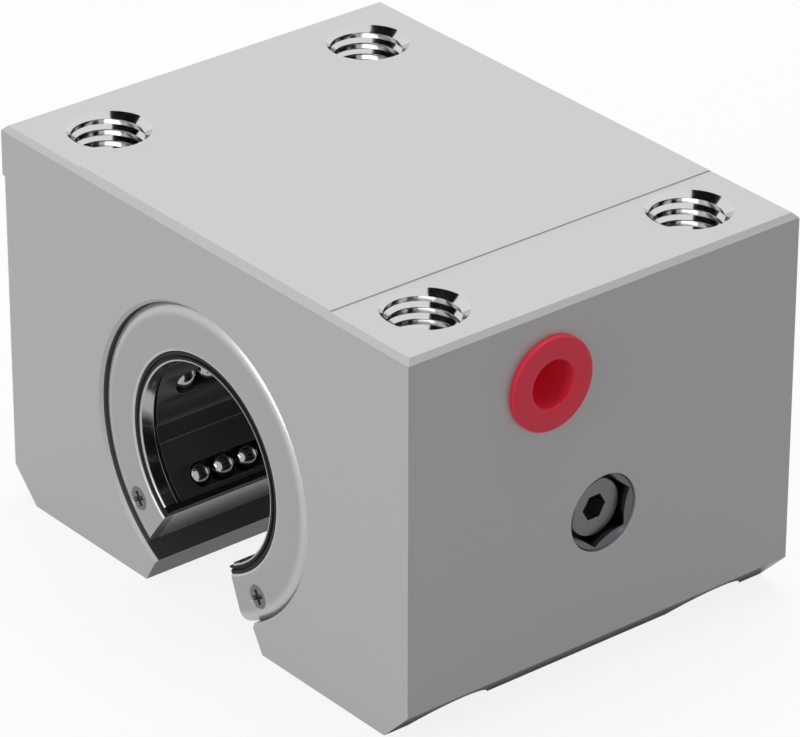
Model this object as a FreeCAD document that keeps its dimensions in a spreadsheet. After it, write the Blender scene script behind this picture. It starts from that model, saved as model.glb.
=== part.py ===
import FreeCAD, Part
import math
import os
import re
import Sketcher

# Open linear bearing block for a 25 mm supported shaft, in millimetres.
# Origin: on the shaft axis, half-way along the block. The shaft runs along Y,
# +Z points to the mounting face and +X to the side with the grease port.
# Angles named phi are measured round the shaft axis, from +Z towards +X.

Vector = FreeCAD.Vector
Rotation = FreeCAD.Rotation
Placement = FreeCAD.Placement

SIZES = [
    # block
    ("block_width", 78.0),
    ("block_length", 59.0),
    ("edge_to_axis", 39.2),
    ("axis_to_top", 30.0),
    ("axis_to_base", 21.0),
    ("ledge_step", 0.5),
    ("ledge_height", 6.8),
    ("top_chamfer", 0.8),
    ("base_chamfer", 4.3),
    ("band_width", 47.9),
    ("band_step", 0.15),
    ("slot_base_width", 23.0),
    ("slot_flare", 30.7),
    ("bore_mouth_chamfer", 0.4),
    ("seat_clearance", 0.02),
    # mounting holes
    ("hole_spacing_across", 60.0),
    ("hole_spacing_along", 40.0),
    ("hole_diameter", 8.5),
    ("hole_countersink", 1.0),
    ("spotface_diameter", 15.0),
    ("spotface_depth", 4.0),
    # grease port and its plug
    ("port_offset", -8.8),
    ("port_height", 20.3),
    ("port_diameter", 8.1),
    ("port_depth", 7.0),
    ("grease_channel", 3.0),
    ("plug_flange_diameter", 12.0),
    ("plug_flange_thickness", 0.78),
    ("plug_seat_gap", 0.02),
    ("plug_edge", 0.2),
    ("plug_length", 6.2),
    ("plug_mouth", 6.1),
    ("plug_floor", 4.8),
    ("plug_floor_thickness", 1.2),
    ("plug_clearance", 0.05),
    # locking screw and its hexagon ring
    ("lock_mouth_chamfer", 0.1),
    ("lock_ring_recess", 0.4),
    ("lock_ring_length", 5.0),
    ("lock_ring_wall", 0.27),
    ("hexagon_clearance", 0.05),
    ("lock_ring_turn", 20.0),
    ("lock_screw_diameter", 8.0),
    ("lock_screw_recess", 1.8),
    ("lock_screw_edge", 0.35),
    ("lock_clearance", 0.05),
    ("lock_screw_stand_off", 0.5),
    ("dog_diameter", 4.9),
    ("dog_clearance", 0.1),
    ("dog_engagement", 1.6),
    ("dog_room", 0.2),
    ("socket_hexagon", 3.0),
    ("socket_depth", 2.6),
    # bearing envelope
    ("shaft_diameter", 25.0),
    ("sleeve_wall", 3.97),
    ("bearing_roll", 7.5),
    ("opening_angle", 57.4),
    ("bearing_set_back", 0.4),
    ("sleeve_edge", 0.4),
    ("edge_lip_angle", 3.5),
    # balls and their circuits
    ("ball_diameter", 3.5),
    ("ball_pitch", 3.66),
    ("return_pitch", 3.55),
    ("ball_clearance", 0.03),
    ("track_spacing", 54.6),
    ("island_width", 1.0),
    ("circuit_end_room", 5.5),
    ("return_lift", 1.1),
    ("channel_clearance", 0.05),
    ("turn_clearance", 0.11),
    ("turn_ball_shift", 0.3),
    # ball cage
    ("cage_pad_gap", 0.45),
    ("cage_collar_length", 1.1),
    ("cage_clearance", 0.08),
    ("cage_end_gap", 0.05),
    ("cage_end_angle", 0.2),
    ("cage_floor_rise", 0.9),
    ("window_narrowing", 0.2),
    ("pad_groove_angle", 10.0),
    ("pad_groove_depth", 0.25),
    # end plates, guide rings, wipers, side seals
    ("plate_thickness", 1.6),
    ("seal_space", 1.35),
    ("plate_bevel", 0.5),
    ("guide_ring_clearance", 0.05),
    ("guide_ring_tongue", 0.5),
    ("seal_side_gap", 0.05),
    ("wiper_clearance", 0.05),
    ("wiper_set_back", 0.1),
    ("wiper_thickness", 0.7),
    ("side_seal_clearance", 0.15),
    # end plate screws
    ("plate_screw_edge", 2.9),
    ("plate_screw_angle", 15.0),
    ("plate_screw_shank", 1.5),
    ("plate_screw_head", 2.8),
    ("plate_screw_length", 3.2),
    ("plate_screw_clearance", 0.03),
    ("plate_screw_room", 0.2),
    # sleeve details
    ("grease_groove_width", 3.0),
    ("grease_groove_depth", 0.6),
    ("grease_hole", 2.0),
    # how far cutting profiles reach past the material
    ("overcut", 1.0),
]

SIDES = {"left": -1, "right": 1}
TURN_ROUND = {"front": 0, "rear": 180}
CIRCUITS_PER_SIDE = 3
BALL_SLICES = 8
BALL_BANDS = 3

# Formulas on the sizes that several sub-parts share
HALF_BLOCK = "(block_length / 2)"
PLUS_SIDE = "(block_width - edge_to_axis)"
SHAFT_RADIUS = "(shaft_diameter / 2)"
BALL_RADIUS = "(ball_diameter / 2)"
TRACK_RADIUS = f"({SHAFT_RADIUS} + ball_clearance + {BALL_RADIUS})"
SLEEVE_BORE = f"({TRACK_RADIUS} + {BALL_RADIUS})"
BEARING_RADIUS = f"({SLEEVE_BORE} + sleeve_wall)"
RING_BORE = f"({SHAFT_RADIUS} + seal_space)"
SEAL_OUTSIDE = f"({RING_BORE} - seal_side_gap)"
CAGE_OUTSIDE = f"({SLEEVE_BORE} - cage_clearance)"
PAD_RADIUS = f"({SHAFT_RADIUS} + cage_pad_gap)"
FLOOR_RADIUS = f"({SHAFT_RADIUS} + cage_floor_rise)"
HALF_SLEEVE = f"({HALF_BLOCK} - bearing_set_back - plate_thickness)"
PLATE_FACE = f"({HALF_BLOCK} - bearing_set_back)"
HALF_CAGE = f"({HALF_SLEEVE} - cage_end_gap)"
HALF_ROW = f"({HALF_SLEEVE} - circuit_end_room)"
WIPER_BACK = f"({PLATE_FACE} - wiper_set_back - wiper_thickness)"
RING_ANGLE = "(360 - opening_angle)"
INNER_ANGLE = f"({RING_ANGLE} - 2 * edge_lip_angle)"
CAGE_ANGLE = f"({INNER_ANGLE} - 2 * cage_end_angle)"
ROW_HALF_GAP = f"(island_width / 2 + channel_clearance + {BALL_RADIUS})"
CHANNEL_HALF_WIDTH = f"({ROW_HALF_GAP} + {BALL_RADIUS} + channel_clearance)"
CIRCUIT_ANGLE = f"(track_spacing / 2 - asin({ROW_HALF_GAP} / {TRACK_RADIUS}) / 1 deg)"
LOAD_HEIGHT = f"sqrt({TRACK_RADIUS} ^ 2 - {ROW_HALF_GAP} ^ 2)"
RETURN_HEIGHT = f"({LOAD_HEIGHT} + return_lift)"
PLATE_SCREW_RADIUS = f"({BEARING_RADIUS} - plate_screw_edge)"
PLATE_SCREW_ANGLE = "(180 - opening_angle / 2 - plate_screw_angle)"
LOCK_HEXAGON = "(lock_screw_diameter + 2 * hexagon_clearance)"
LOCK_RING_RADIUS = f"({LOCK_HEXAGON} / 2 / cos(30) + lock_ring_wall)"

doc = FreeCAD.newDocument("LinearBearingBlock")
sheet = doc.addObject("Spreadsheet::Sheet", "Sizes")
for row, (alias, value) in enumerate(SIZES, 1):
    sheet.set("A%d" % row, alias)
    sheet.set("B%d" % row, str(value))
    sheet.setAlias("B%d" % row, alias)
doc.recompute()
ALIASES = {alias for alias, value in SIZES}
nodes = []
probe = doc.addObject("App::FeaturePython", "Probe")
probe.addProperty("App::PropertyFloat", "Value")


def bound(text):
    """Write a formula as an expression that reads each size from the sheet."""
    return re.sub("[a-z_]+", lambda word: ("Sizes." if word[0] in ALIASES else "") + word[0], text)


def sized(text):
    """Work out a formula's value from the sheet."""
    probe.setExpression("Value", bound(text))
    probe.recompute()
    return probe.Value


def polar_place(radius, angle):
    """Turn a radius and an angle phi into a pair of formulas, across and up."""
    return (f"{radius} * sin({angle})", f"{radius} * cos({angle})")


def new_body(name):
    """Start a sub-part."""
    body = doc.addObject("PartDesign::Body", name)
    body.Label = name
    doc.recompute()
    nodes.append(body)
    return body


def origin_item(body, role):
    """Find one of the body's own origin planes or axes."""
    return next(item for item in body.Origin.OriginFeatures if item.Role == role)


def new_sketch(body, name, role, offset="0"):
    """Attach a sketch to an origin plane, moved along its normal by a formula."""
    sketch = body.newObject("Sketcher::SketchObject", name)
    sketch.AttachmentSupport = (origin_item(body, role), [""])
    sketch.MapMode = "FlatFace"
    place = f"placement(vector(0; 0; {offset}); rotation(vector(0; 0; 1); 0))"
    sketch.setExpression("AttachmentOffset", bound(place))
    return sketch


def tangent_sketch(body, name, angle, radius):
    """Attach a sketch square to the radius at an angle phi; its y runs along the shaft."""
    sketch = new_sketch(body, name, "XY_Plane")
    base = f"vector({radius} * sin({angle}); 0; {radius} * cos({angle}))"
    place = f"placement({base}; rotation(vector(0; 1; 0); {angle}))"
    sketch.setExpression("AttachmentOffset", bound(place))
    return sketch


def radial_sketch(body, name, angle):
    """Attach a sketch that holds the shaft axis (x) and the radius at an angle phi (y)."""
    sketch = new_sketch(body, name, "YZ_Plane")
    place = f"placement(vector(0; 0; 0); rotation(vector(1; 0; 0); {angle}))"
    sketch.setExpression("AttachmentOffset", bound(place))
    return sketch


def pin(sketch, line, point, place):
    """Hold a point of the sketch at a pair of formulas."""
    for kind, axis, text in zip(("DistanceX", "DistanceY"), (-2, -1), place):
        if sized(text) == 0:
            sketch.addConstraint(Sketcher.Constraint("PointOnObject", line, point, axis))
        else:
            number = sketch.addConstraint(Sketcher.Constraint(kind, -1, 1, line, point, sized(text)))
            sketch.setExpression("Constraints[%d]" % number, bound(text))


def polygon(sketch, corners):
    """Draw a closed outline through corners, each a pair of formulas."""
    count = len(corners)
    start = sketch.GeometryCount
    turn = 2 * math.pi / count
    rough = [Vector(10 * math.cos(turn * i), 10 * math.sin(turn * i), 0) for i in range(count)]
    for i in range(count):
        sketch.addGeometry(Part.LineSegment(rough[i], rough[(i + 1) % count]))
    for i in range(count):
        after = start + (i + 1) % count
        sketch.addConstraint(Sketcher.Constraint("Coincident", start + i, 2, after, 1))
    for i, place in enumerate(corners):
        pin(sketch, start + i, 1, place)


def rectangle(sketch, left, right, low, high):
    """Draw a rectangle between two x formulas and two y formulas."""
    polygon(sketch, [(left, low), (right, low), (right, high), (left, high)])


def circle(sketch, place, radius):
    """Draw a circle with its centre and radius as formulas."""
    number = sketch.addGeometry(Part.Circle(Vector(1, 1, 0), Vector(0, 0, 1), 1.0))
    pin(sketch, number, 3, place)
    size = sketch.addConstraint(Sketcher.Constraint("Radius", number, 1.0))
    sketch.setExpression("Constraints[%d]" % size, bound(radius))


def hexagon(sketch, across_flats, turn):
    """Draw a regular hexagon round the sketch's origin."""
    reach = f"{across_flats} / 2 / cos(30)"
    angles = [f"({turn} + {60 * i})" for i in range(6)]
    polygon(sketch, [(f"{reach} * cos({a})", f"{reach} * sin({a})") for a in angles])


def arc_of(sketch, middle, height, radius, start_angle):
    """Draw half a circle, counter-clockwise from an angle, about its real place."""
    whole = Part.Circle(Vector(middle, height, 0), Vector(0, 0, 1), radius)
    return sketch.addGeometry(Part.ArcOfCircle(whole, start_angle, start_angle + math.pi))


def close_arc(sketch, arc, first, second, height):
    """Join an arc's two ends to points and hold its centre at a height."""
    sketch.addConstraint(Sketcher.Constraint("Coincident", arc, 1, first[0], first[1]))
    sketch.addConstraint(Sketcher.Constraint("Coincident", arc, 2, second[0], second[1]))
    number = sketch.addConstraint(Sketcher.Constraint("DistanceY", -1, 1, arc, 3, sized(height)))
    sketch.setExpression("Constraints[%d]" % number, bound(height))


def racetrack(sketch, middle, half_width, half_length):
    """Draw a slot outline along y with round ends."""
    x, w, h = (sized(text) for text in (middle, half_width, half_length))
    left = sketch.addGeometry(Part.LineSegment(Vector(x - w, -h, 0), Vector(x - w, h, 0)))
    right = sketch.addGeometry(Part.LineSegment(Vector(x + w, h, 0), Vector(x + w, -h, 0)))
    pin(sketch, left, 1, (f"{middle} - {half_width}", f"-{half_length}"))
    pin(sketch, left, 2, (f"{middle} - {half_width}", half_length))
    pin(sketch, right, 1, (f"{middle} + {half_width}", half_length))
    pin(sketch, right, 2, (f"{middle} + {half_width}", f"-{half_length}"))
    far = arc_of(sketch, x, h, w, 0)
    near = arc_of(sketch, x, -h, w, math.pi)
    close_arc(sketch, far, (right, 1), (left, 2), half_length)
    close_arc(sketch, near, (left, 1), (right, 2), f"-{half_length}")


def half_disc(sketch, radius, foot):
    """Draw a half disc that stands on a line at y = foot."""
    r, h = (sized(text) for text in (radius, foot))
    line = sketch.addGeometry(Part.LineSegment(Vector(-r, h, 0), Vector(r, h, 0)))
    pin(sketch, line, 1, (f"-{radius}", foot))
    pin(sketch, line, 2, (radius, foot))
    close_arc(sketch, arc_of(sketch, 0, h, r, 0), (line, 2), (line, 1), foot)


def feature(body, kind, name, sketch, **formulas):
    """Add a PartDesign feature on a solved sketch, with its sizes as formulas."""
    doc.recompute()
    item = body.newObject("PartDesign::" + kind, name)
    item.Profile = sketch
    for key, text in formulas.items():
        item.setExpression(key, bound(text))
    body.Tip = item
    return item


def pad(body, name, sketch, length, both_ways=False):
    item = feature(body, "Pad", name, sketch, Length=length)
    item.Midplane = both_ways
    doc.recompute()
    return item


def pocket(body, name, sketch, length, both_ways=False, outward=False):
    """Cut a sketch into the body, against its normal unless told otherwise."""
    before = body.Shape.Volume
    item = feature(body, "Pocket", name, sketch, Length=length)
    item.Midplane = both_ways
    item.Reversed = outward
    doc.recompute()
    if not item.Shape.Volume < before:
        raise RuntimeError(name + " cuts nothing")
    return item


def turned(body, name, sketch, angle="360", axis="H_Axis", kind="Revolution"):
    """Turn a sketch about one of its axes, half of the angle to each side."""
    item = feature(body, kind, name, sketch, Angle=angle)
    item.ReferenceAxis = (sketch, [axis])
    item.Midplane = True
    doc.recompute()
    return item


def repeated(body, name, features, steps):
    """Repeat features by patterns and mirrors, one after the other."""
    item = body.newObject("PartDesign::MultiTransform", name)
    for step in steps:
        body.addObject(step)
    item.Originals = features
    item.Transformations = steps
    body.Tip = item
    doc.recompute()
    return item


def mirror(body, name, role):
    item = doc.addObject("PartDesign::Mirrored", name)
    item.MirrorPlane = (origin_item(body, role), [""])
    return item


def polar(body, name, angle, count):
    item = doc.addObject("PartDesign::PolarPattern", name)
    item.Axis = (origin_item(body, "Y_Axis"), [""])
    item.setExpression("Angle", bound(angle))
    item.Occurrences = count
    return item


def chamfered(body, name, size, wanted):
    """Chamfer the edges that a test picks."""
    base = body.Tip
    edges = ["Edge%d" % i for i, edge in enumerate(base.Shape.Edges, 1) if wanted(edge)]
    item = body.newObject("PartDesign::Chamfer", name)
    item.Base = (base, edges)
    item.setExpression("Size", bound(size))
    body.Tip = item
    doc.recompute()
    return item


def roll_with_bearing(body, turn=0, base="vector(0; 0; 0)"):
    """Place a bearing piece: turned end for end if it is a rear one, then rolled."""
    lean = "-bearing_roll" if turn else "bearing_roll"
    body.setExpression("Placement", bound(f"placement({base}; rotation({turn}; {lean}; 0))"))


def build_housing():
    body = new_body("housing")
    section = new_sketch(body, "section", "XZ_Plane")
    flare_top = f"-0.8 * {BEARING_RADIUS}"
    flare_half = f"(slot_base_width / 2 - tan(slot_flare) * (axis_to_base - 0.8 * {BEARING_RADIUS}))"
    chamfer_in = "(top_chamfer - band_step)"
    polygon(section, [
        ("slot_base_width / 2", "-axis_to_base"),
        (f"{PLUS_SIDE} - base_chamfer", "-axis_to_base"),
        (PLUS_SIDE, "base_chamfer - axis_to_base"),
        (PLUS_SIDE, "axis_to_top - top_chamfer"),
        (f"{PLUS_SIDE} - {chamfer_in}", "axis_to_top - band_step"),
        ("band_width / 2", "axis_to_top - band_step"),
        ("band_width / 2", "axis_to_top"),
        ("-band_width / 2", "axis_to_top"),
        ("-band_width / 2", "axis_to_top - band_step"),
        (f"{chamfer_in} - edge_to_axis", "axis_to_top - band_step"),
        ("-edge_to_axis", "axis_to_top - top_chamfer"),
        ("-edge_to_axis", "axis_to_top - ledge_height"),
        ("ledge_step - edge_to_axis", "axis_to_top - ledge_height"),
        ("ledge_step - edge_to_axis", "base_chamfer - axis_to_base"),
        ("ledge_step + base_chamfer - edge_to_axis", "-axis_to_base"),
        ("-slot_base_width / 2", "-axis_to_base"),
        (f"-{flare_half}", flare_top),
        (flare_half, flare_top),
    ])
    pad(body, "block", section, "block_length", both_ways=True)

    bore = new_sketch(body, "bore", "XZ_Plane")
    circle(bore, ("0", "0"), f"{BEARING_RADIUS} + seat_clearance")
    pocket(body, "bearing_bore", bore, "block_length + 2 * overcut", both_ways=True)

    mouth = new_sketch(body, "bore_mouth", "YZ_Plane")
    seat = f"({BEARING_RADIUS} + seat_clearance)"
    polygon(mouth, [
        (f"{HALF_BLOCK} - bore_mouth_chamfer", seat),
        (f"{HALF_BLOCK} + overcut", f"{seat} + bore_mouth_chamfer + overcut"),
        (f"{HALF_BLOCK} + overcut", f"{seat} - overcut"),
        (f"{HALF_BLOCK} - bore_mouth_chamfer", f"{seat} - overcut"),
    ])
    chamfer = turned(body, "bore_chamfer", mouth, kind="Groove")
    repeated(body, "bore_chamfers", [chamfer], [mirror(body, "bore_ends", "XZ_Plane")])

    corner = new_sketch(body, "top_edge", "YZ_Plane")
    polygon(corner, [
        (HALF_BLOCK, "axis_to_top - top_chamfer"),
        (f"{HALF_BLOCK} + overcut", "axis_to_top - top_chamfer"),
        (f"{HALF_BLOCK} + overcut", "axis_to_top + overcut"),
        (f"{HALF_BLOCK} - top_chamfer", "axis_to_top + overcut"),
        (f"{HALF_BLOCK} - top_chamfer", "axis_to_top"),
    ])
    edge = pocket(body, "top_end_chamfer", corner, "2 * block_width", both_ways=True)
    repeated(body, "top_end_chamfers", [edge], [mirror(body, "block_ends", "XZ_Plane")])

    hole_place = ("hole_spacing_across / 2", "hole_spacing_along / 2")
    centre = new_sketch(body, "hole_centre", "XY_Plane", "axis_to_top - band_step")
    circle(centre, hole_place, "hole_diameter / 2")
    hole = feature(body, "Hole", "mounting_hole", centre)
    doc.recompute()
    hole.ThreadType = "None"
    hole.setExpression("Diameter", bound("hole_diameter"))
    hole.HoleCutType = "Countersink"
    hole.HoleCutCustomValues = True
    hole.setExpression("HoleCutDiameter", bound("hole_diameter + 2 * hole_countersink"))
    hole.setExpression("HoleCutCountersinkAngle", "90")
    hole.DepthType = "ThroughAll"
    doc.recompute()
    under = new_sketch(body, "spotface", "XY_Plane", "-axis_to_base")
    circle(under, hole_place, "spotface_diameter / 2")
    seat_cut = pocket(body, "bolt_seat", under, "spotface_depth", outward=True)
    both = [mirror(body, "holes_across", "YZ_Plane"), mirror(body, "holes_along", "XZ_Plane")]
    repeated(body, "mounting_holes", [hole, seat_cut], both)

    port = new_sketch(body, "port", "YZ_Plane", PLUS_SIDE)
    circle(port, ("port_offset", "port_height"), "port_diameter / 2")
    pocket(body, "grease_port", port, "port_depth")
    channel = new_sketch(body, "channel", "YZ_Plane", PLUS_SIDE)
    circle(channel, ("port_offset", "port_height"), "grease_channel / 2")
    pocket(body, "grease_way", channel, PLUS_SIDE)

    ring_hole = new_sketch(body, "ring_hole", "YZ_Plane", PLUS_SIDE)
    circle(ring_hole, ("0", "0"), f"{LOCK_RING_RADIUS} + lock_clearance")
    pocket(body, "lock_ring_hole", ring_hole, "lock_ring_recess + lock_ring_length")
    screw_hole = new_sketch(body, "screw_hole", "YZ_Plane", PLUS_SIDE)
    circle(screw_hole, ("0", "0"), "lock_screw_diameter / 2 + lock_clearance")
    pocket(body, "lock_screw_hole", screw_hole, PLUS_SIDE)
    wide = sized(f"{LOCK_RING_RADIUS} + lock_clearance")
    face = sized(PLUS_SIDE)

    def mouth_edge(edge):
        round_edge = isinstance(edge.Curve, Part.Circle) and abs(edge.Curve.Radius - wide) < 1e-4
        return round_edge and abs(edge.Curve.Center.x - face) < 1e-4

    chamfered(body, "lock_mouth", "lock_mouth_chamfer", mouth_edge)


def build_bearing_sleeve():
    body = new_body("bearing_sleeve")
    section = new_sketch(body, "section", "YZ_Plane")
    polygon(section, [
        (f"-{HALF_SLEEVE}", RING_BORE),
        (HALF_SLEEVE, RING_BORE),
        (HALF_SLEEVE, f"{BEARING_RADIUS} - sleeve_edge"),
        (f"{HALF_SLEEVE} - sleeve_edge", BEARING_RADIUS),
        (f"sleeve_edge - {HALF_SLEEVE}", BEARING_RADIUS),
        (f"-{HALF_SLEEVE}", f"{BEARING_RADIUS} - sleeve_edge"),
    ])
    turned(body, "ring", section, RING_ANGLE)
    inside = new_sketch(body, "inside", "YZ_Plane")
    reach = f"({HALF_SLEEVE} + overcut)"
    rectangle(inside, f"-{reach}", reach, f"{RING_BORE} - overcut", SLEEVE_BORE)
    turned(body, "bore_between_lips", inside, INNER_ANGLE, kind="Groove")

    groove = radial_sketch(body, "grease_groove", "0")
    rectangle(groove, "port_offset - grease_groove_width / 2", "port_offset + grease_groove_width / 2",
              f"{BEARING_RADIUS} - grease_groove_depth", f"{BEARING_RADIUS} + overcut")
    turned(body, "grease_ring", groove, kind="Groove")
    drill = new_sketch(body, "grease_drill", "XY_Plane")
    circle(drill, ("0", "port_offset"), "grease_hole / 2")
    pocket(body, "grease_hole", drill, f"{BEARING_RADIUS} + overcut", outward=True)

    way = new_sketch(body, "return_way", "XZ_Plane")
    away = f"({CIRCUIT_ANGLE} - atan({ROW_HALF_GAP} / {RETURN_HEIGHT}) / 1 deg)"
    radius = f"sqrt({ROW_HALF_GAP} ^ 2 + {RETURN_HEIGHT} ^ 2)"
    circle(way, polar_place(radius, away), f"{BALL_RADIUS} + channel_clearance")
    return_cut = pocket(body, "return_groove", way, f"2 * ({HALF_SLEEVE} + overcut)", both_ways=True)
    roof = f"({RETURN_HEIGHT} + {BALL_RADIUS} + turn_clearance)"
    turn = tangent_sketch(body, "turn_pocket", CIRCUIT_ANGLE, roof)
    half_disc(turn, CHANNEL_HALF_WIDTH, HALF_ROW)
    turn_cut = pocket(body, "ball_turn", turn, f"{BALL_RADIUS} * 1.5")
    steps = [
        polar(body, "three_circuits", "track_spacing * 2", CIRCUITS_PER_SIDE),
        mirror(body, "circuits_both_sides", "YZ_Plane"),
    ]
    far_end = mirror(body, "turns_at_both_ends", "XZ_Plane")
    repeated(body, "all_circuits", [return_cut, turn_cut], steps + [far_end])

    tapped = new_sketch(body, "end_hole", "XZ_Plane", HALF_SLEEVE)
    place = polar_place(PLATE_SCREW_RADIUS, PLATE_SCREW_ANGLE)
    circle(tapped, place, "plate_screw_shank / 2 + plate_screw_clearance")
    depth = "plate_screw_length - plate_thickness + plate_screw_room"
    end_hole = pocket(body, "plate_screw_hole", tapped, depth)
    both = [mirror(body, "screw_holes_across", "YZ_Plane"), mirror(body, "screw_holes_along", "XZ_Plane")]
    repeated(body, "plate_screw_holes", [end_hole], both)

    dog = tangent_sketch(body, "dog_hole", "(90 - bearing_roll)", BEARING_RADIUS)
    circle(dog, ("0", "0"), "dog_diameter / 2 + dog_clearance")
    pocket(body, "locating_hole", dog, "dog_engagement + dog_room")
    roll_with_bearing(body)


def build_ball_cage():
    body = new_body("ball_cage")
    section = new_sketch(body, "section", "YZ_Plane")
    collar = f"({HALF_CAGE} - cage_collar_length)"
    polygon(section, [
        (f"-{HALF_CAGE}", CAGE_OUTSIDE),
        (f"-{HALF_CAGE}", RING_BORE),
        (f"-{collar}", RING_BORE),
        (f"-{collar}", PAD_RADIUS),
        (collar, PAD_RADIUS),
        (collar, RING_BORE),
        (HALF_CAGE, RING_BORE),
        (HALF_CAGE, CAGE_OUTSIDE),
    ])
    turned(body, "ring", section, CAGE_ANGLE)

    recess = new_sketch(body, "pad_groove", "YZ_Plane")
    rectangle(recess, f"-{collar}", collar, f"{PAD_RADIUS} - overcut", f"{PAD_RADIUS} + pad_groove_depth")
    middle = turned(body, "middle_pad_groove", recess, "pad_groove_angle", kind="Groove")
    steps = [
        polar(body, "three_pad_grooves", "track_spacing * 2", CIRCUITS_PER_SIDE),
        mirror(body, "pad_grooves_both_sides", "YZ_Plane"),
    ]
    repeated(body, "pad_grooves", [middle], steps)

    track = tangent_sketch(body, "ball_channel", CIRCUIT_ANGLE, FLOOR_RADIUS)
    racetrack(track, "0", CHANNEL_HALF_WIDTH, HALF_ROW)
    racetrack(track, "0", "(island_width / 2)", HALF_ROW)
    channel = pocket(body, "channel", track, CAGE_OUTSIDE, outward=True)
    window = tangent_sketch(body, "ball_window", CIRCUIT_ANGLE, FLOOR_RADIUS)
    racetrack(window, ROW_HALF_GAP, f"({BALL_RADIUS} - window_narrowing / 2)", HALF_ROW)
    slot = pocket(body, "window", window, f"{FLOOR_RADIUS} - {PAD_RADIUS} + 2 * overcut")
    steps = [
        polar(body, "three_channels", "track_spacing * 2", CIRCUITS_PER_SIDE),
        mirror(body, "channels_both_sides", "YZ_Plane"),
    ]
    repeated(body, "channels", [channel, slot], steps)
    roll_with_bearing(body)


def build_end_plate(end):
    body = new_body(end + "_end_plate")
    section = new_sketch(body, "section", "YZ_Plane")
    polygon(section, [
        (f"-{PLATE_FACE}", RING_BORE),
        (f"-{HALF_SLEEVE}", RING_BORE),
        (f"-{HALF_SLEEVE}", BEARING_RADIUS),
        (f"plate_bevel - {PLATE_FACE}", BEARING_RADIUS),
        (f"-{PLATE_FACE}", f"{BEARING_RADIUS} - plate_bevel"),
    ])
    turned(body, "ring", section, RING_ANGLE)
    centre = new_sketch(body, "hole_centre", "XZ_Plane", PLATE_FACE)
    circle(centre, polar_place(PLATE_SCREW_RADIUS, PLATE_SCREW_ANGLE), "plate_screw_shank / 2")
    hole = feature(body, "Hole", "screw_hole", centre)
    doc.recompute()
    hole.ThreadType = "None"
    hole.setExpression("Diameter", bound("plate_screw_shank + 2 * plate_screw_clearance"))
    hole.HoleCutType = "Countersink"
    hole.HoleCutCustomValues = True
    hole.setExpression("HoleCutDiameter", bound("plate_screw_head + 2 * plate_screw_clearance"))
    hole.setExpression("HoleCutCountersinkAngle", "90")
    hole.DepthType = "ThroughAll"
    doc.recompute()
    repeated(body, "screw_holes", [hole], [mirror(body, "other_screw_hole", "YZ_Plane")])
    roll_with_bearing(body, TURN_ROUND[end])


def build_plate_screw(end, side):
    body = new_body(f"{end}_{side}_plate_screw")
    section = new_sketch(body, "section", "YZ_Plane")
    head = "(plate_screw_head / 2)"
    shank = "(plate_screw_shank / 2)"
    polygon(section, [
        ("0", "0"),
        ("0", head),
        (f"{head} - {shank}", shank),
        ("plate_screw_length", shank),
        ("plate_screw_length", "0"),
    ])
    turned(body, "screw", section)
    across, up = polar_place(PLATE_SCREW_RADIUS, f"({SIDES[side]} * {PLATE_SCREW_ANGLE} + bearing_roll)")
    turn = TURN_ROUND[end]
    along = PLATE_FACE if turn else f"-{PLATE_FACE}"
    roll_with_bearing(body, turn, f"vector({across}; {along}; {up})")


def build_guide_ring(end):
    """Build the ring that lines the shaft's way in and reaches into the cage's collar."""
    body = new_body(end + "_guide_ring")
    section = new_sketch(body, "section", "YZ_Plane")
    rectangle(section, f"-{WIPER_BACK}", f"guide_ring_tongue - {HALF_SLEEVE}",
              f"{SHAFT_RADIUS} + guide_ring_clearance", SEAL_OUTSIDE)
    turned(body, "ring", section, CAGE_ANGLE)
    roll_with_bearing(body, TURN_ROUND[end])


def build_wiper(end):
    body = new_body(end + "_wiper")
    section = new_sketch(body, "section", "YZ_Plane")
    rectangle(section, f"-{WIPER_BACK} - wiper_thickness", f"-{WIPER_BACK}",
              f"{SHAFT_RADIUS} + wiper_clearance", SEAL_OUTSIDE)
    turned(body, "ring", section, RING_ANGLE)
    roll_with_bearing(body, TURN_ROUND[end])


def build_side_seal(side):
    body = new_body(side + "_side_seal")
    angle = f"{-SIDES[side]} * (180 - opening_angle / 2 - edge_lip_angle / 2)"
    section = radial_sketch(body, "section", angle)
    rectangle(section, f"-{WIPER_BACK}", WIPER_BACK, f"{SHAFT_RADIUS} + side_seal_clearance", SEAL_OUTSIDE)
    turned(body, "strip", section, "edge_lip_angle")
    roll_with_bearing(body)


def build_lock_ring():
    body = new_body("lock_ring")
    section = new_sketch(body, "section", "YZ_Plane", f"{PLUS_SIDE} - lock_ring_recess - lock_ring_length")
    circle(section, ("0", "0"), LOCK_RING_RADIUS)
    hexagon(section, LOCK_HEXAGON, "lock_ring_turn")
    pad(body, "ring", section, "lock_ring_length")


def build_locking_screw():
    body = new_body("locking_screw")
    section = new_sketch(body, "section", "XZ_Plane")
    head = f"({PLUS_SIDE} - lock_screw_recess)"
    radius = "(lock_screw_diameter / 2)"
    shoulder = f"({BEARING_RADIUS} + lock_screw_stand_off)"
    polygon(section, [
        (f"{BEARING_RADIUS} - dog_engagement", "0"),
        (head, "0"),
        (head, f"{radius} - lock_screw_edge"),
        (f"{head} - lock_screw_edge", radius),
        (shoulder, radius),
        (shoulder, "dog_diameter / 2"),
        (f"{BEARING_RADIUS} - dog_engagement", "dog_diameter / 2"),
    ])
    turned(body, "screw", section)
    socket = new_sketch(body, "socket", "YZ_Plane", head)
    hexagon(socket, "socket_hexagon", "0")
    pocket(body, "hexagon_socket", socket, "socket_depth")


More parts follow.
